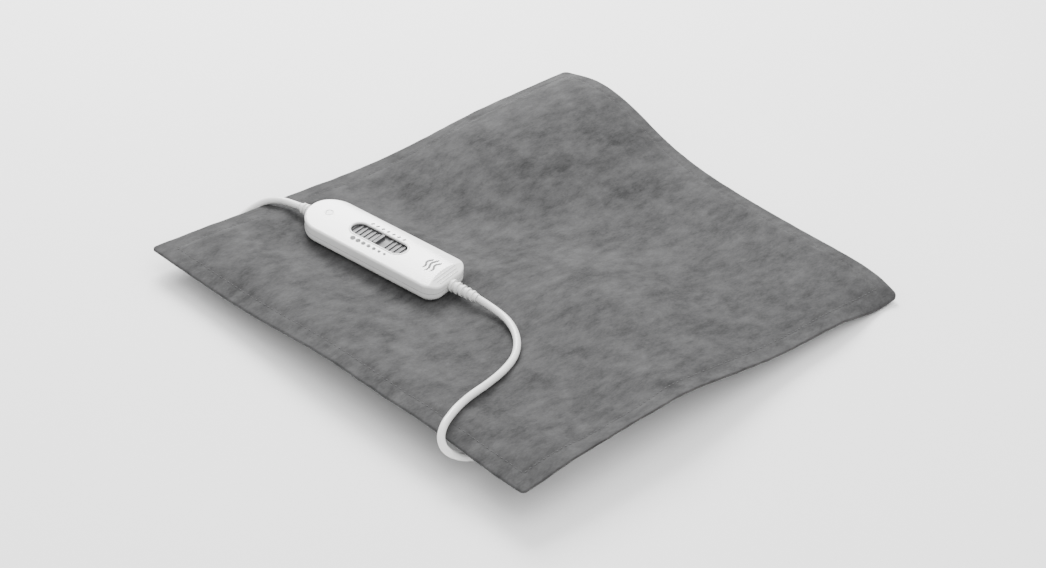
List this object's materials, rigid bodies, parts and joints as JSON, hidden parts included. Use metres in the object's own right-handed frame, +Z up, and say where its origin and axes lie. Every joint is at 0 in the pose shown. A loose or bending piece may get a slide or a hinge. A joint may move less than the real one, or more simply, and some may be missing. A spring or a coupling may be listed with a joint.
{
  "type": "electric heating pad",
  "caption": "Rectangular plush electric heating pad lying in soft folds, with an in-line slide control, a plug-in lead coupling and a coiled mains lead with plug.",
  "frame": {"origin": "on the surface that the pad lies on, below the middle of the pad", "axes": "+Z up; +Y along the longer side of the pad; +X along the shorter side; the hand control lies near the -X edge"},
  "size_m": [0.3802, 0.4286, 0.0426],
  "materials": {
    "top_cover": "brushed micro-plush",
    "bottom_cover": "brushed micro-plush",
    "upper_felt": "needled polyester felt",
    "lower_felt": "needled polyester felt",
    "heating_wire": "silicone-insulated heating element",
    "thermal_cutouts": "moulded capsule",
    "inlet_backing": "moulded plate",
    "inlet_rivets": "plain",
    "inlet_body": "fine spark texture",
    "inlet_pins": "plain",
    "coupling_body": "smooth moulded",
    "coupling_contacts": "plain",
    "coupling_latch": "ribbed",
    "coupling_strain_relief": "soft PVC",
    "pad_lead": "PVC cord",
    "mains_lead": "PVC cord",
    "mains_coil": "PVC cord, coiled",
    "coil_tie": "twist tie",
    "plug_tail": "PVC cord",
    "plug_body": "moulded",
    "plug_pins": "nickel-plated tips",
    "control_top_shell": "gloss ABS",
    "control_bottom_shell": "gloss ABS",
    "slider_knob": "ribbed",
    "slider_carrier": "plain",
    "slider_wipers": "spring strip",
    "contact_tracks": "etched contacts",
    "detent_spring": "spring steel",
    "circuit_board": "green laminate",
    "power_switch": "moulded package",
    "capacitor": "dipped film",
    "fuse": "glass tube",
    "terminal_blocks": "moulded",
    "lead_cores": "PVC insulated",
    "indicator_lens": "translucent",
    "shell_screws": "zinc plated",
    "relief_pad_side": "soft PVC",
    "relief_mains_side": "soft PVC"
  },
  "bodies": {
    "pad": {"top_cover": "top_cover", "bottom_cover": "bottom_cover", "upper_felt": "upper_felt", "lower_felt": "lower_felt", "heating_wire": "heating_wire", "thermal_cutouts": "thermal_cutouts", "inlet_backing": "inlet_backing", "inlet_rivets": "inlet_rivets", "inlet_body": "inlet_body", "inlet_pins": "inlet_pins", "coupling_body": "coupling_body", "coupling_contacts": "coupling_contacts", "coupling_strain_relief": "coupling_strain_relief", "pad_lead": "pad_lead", "mains_lead": "mains_lead", "mains_coil": "mains_coil", "coil_tie": "coil_tie", "plug_tail": "plug_tail", "plug_body": "plug_body", "plug_pins": "plug_pins", "control_top_shell": "control_top_shell", "control_bottom_shell": "control_bottom_shell", "contact_tracks": "contact_tracks", "detent_spring": "detent_spring", "circuit_board": "circuit_board", "power_switch": "power_switch", "capacitor": "capacitor", "fuse": "fuse", "terminal_blocks": "terminal_blocks", "lead_cores": "lead_cores", "indicator_lens": "indicator_lens", "shell_screws": "shell_screws", "relief_pad_side": "relief_pad_side", "relief_mains_side": "relief_mains_side"},
    "slider": {"slider_knob": "slider_knob", "slider_carrier": "slider_carrier", "slider_wipers": "slider_wipers"},
    "latch": {"coupling_latch": "coupling_latch"}
  },
  "joints": [
    {"name": "heat_slider", "type": "slide", "parent": "pad", "child": "slider", "axis": [0.9914, 0.1305, 0], "range_m": [-0.015, 0.015]},
    {"name": "coupling_release", "type": "slide", "parent": "pad", "child": "latch", "axis": [1, 0, 0], "range_m": [0, 0.0012], "stiffness_N_per_m": 1000}
  ]
}
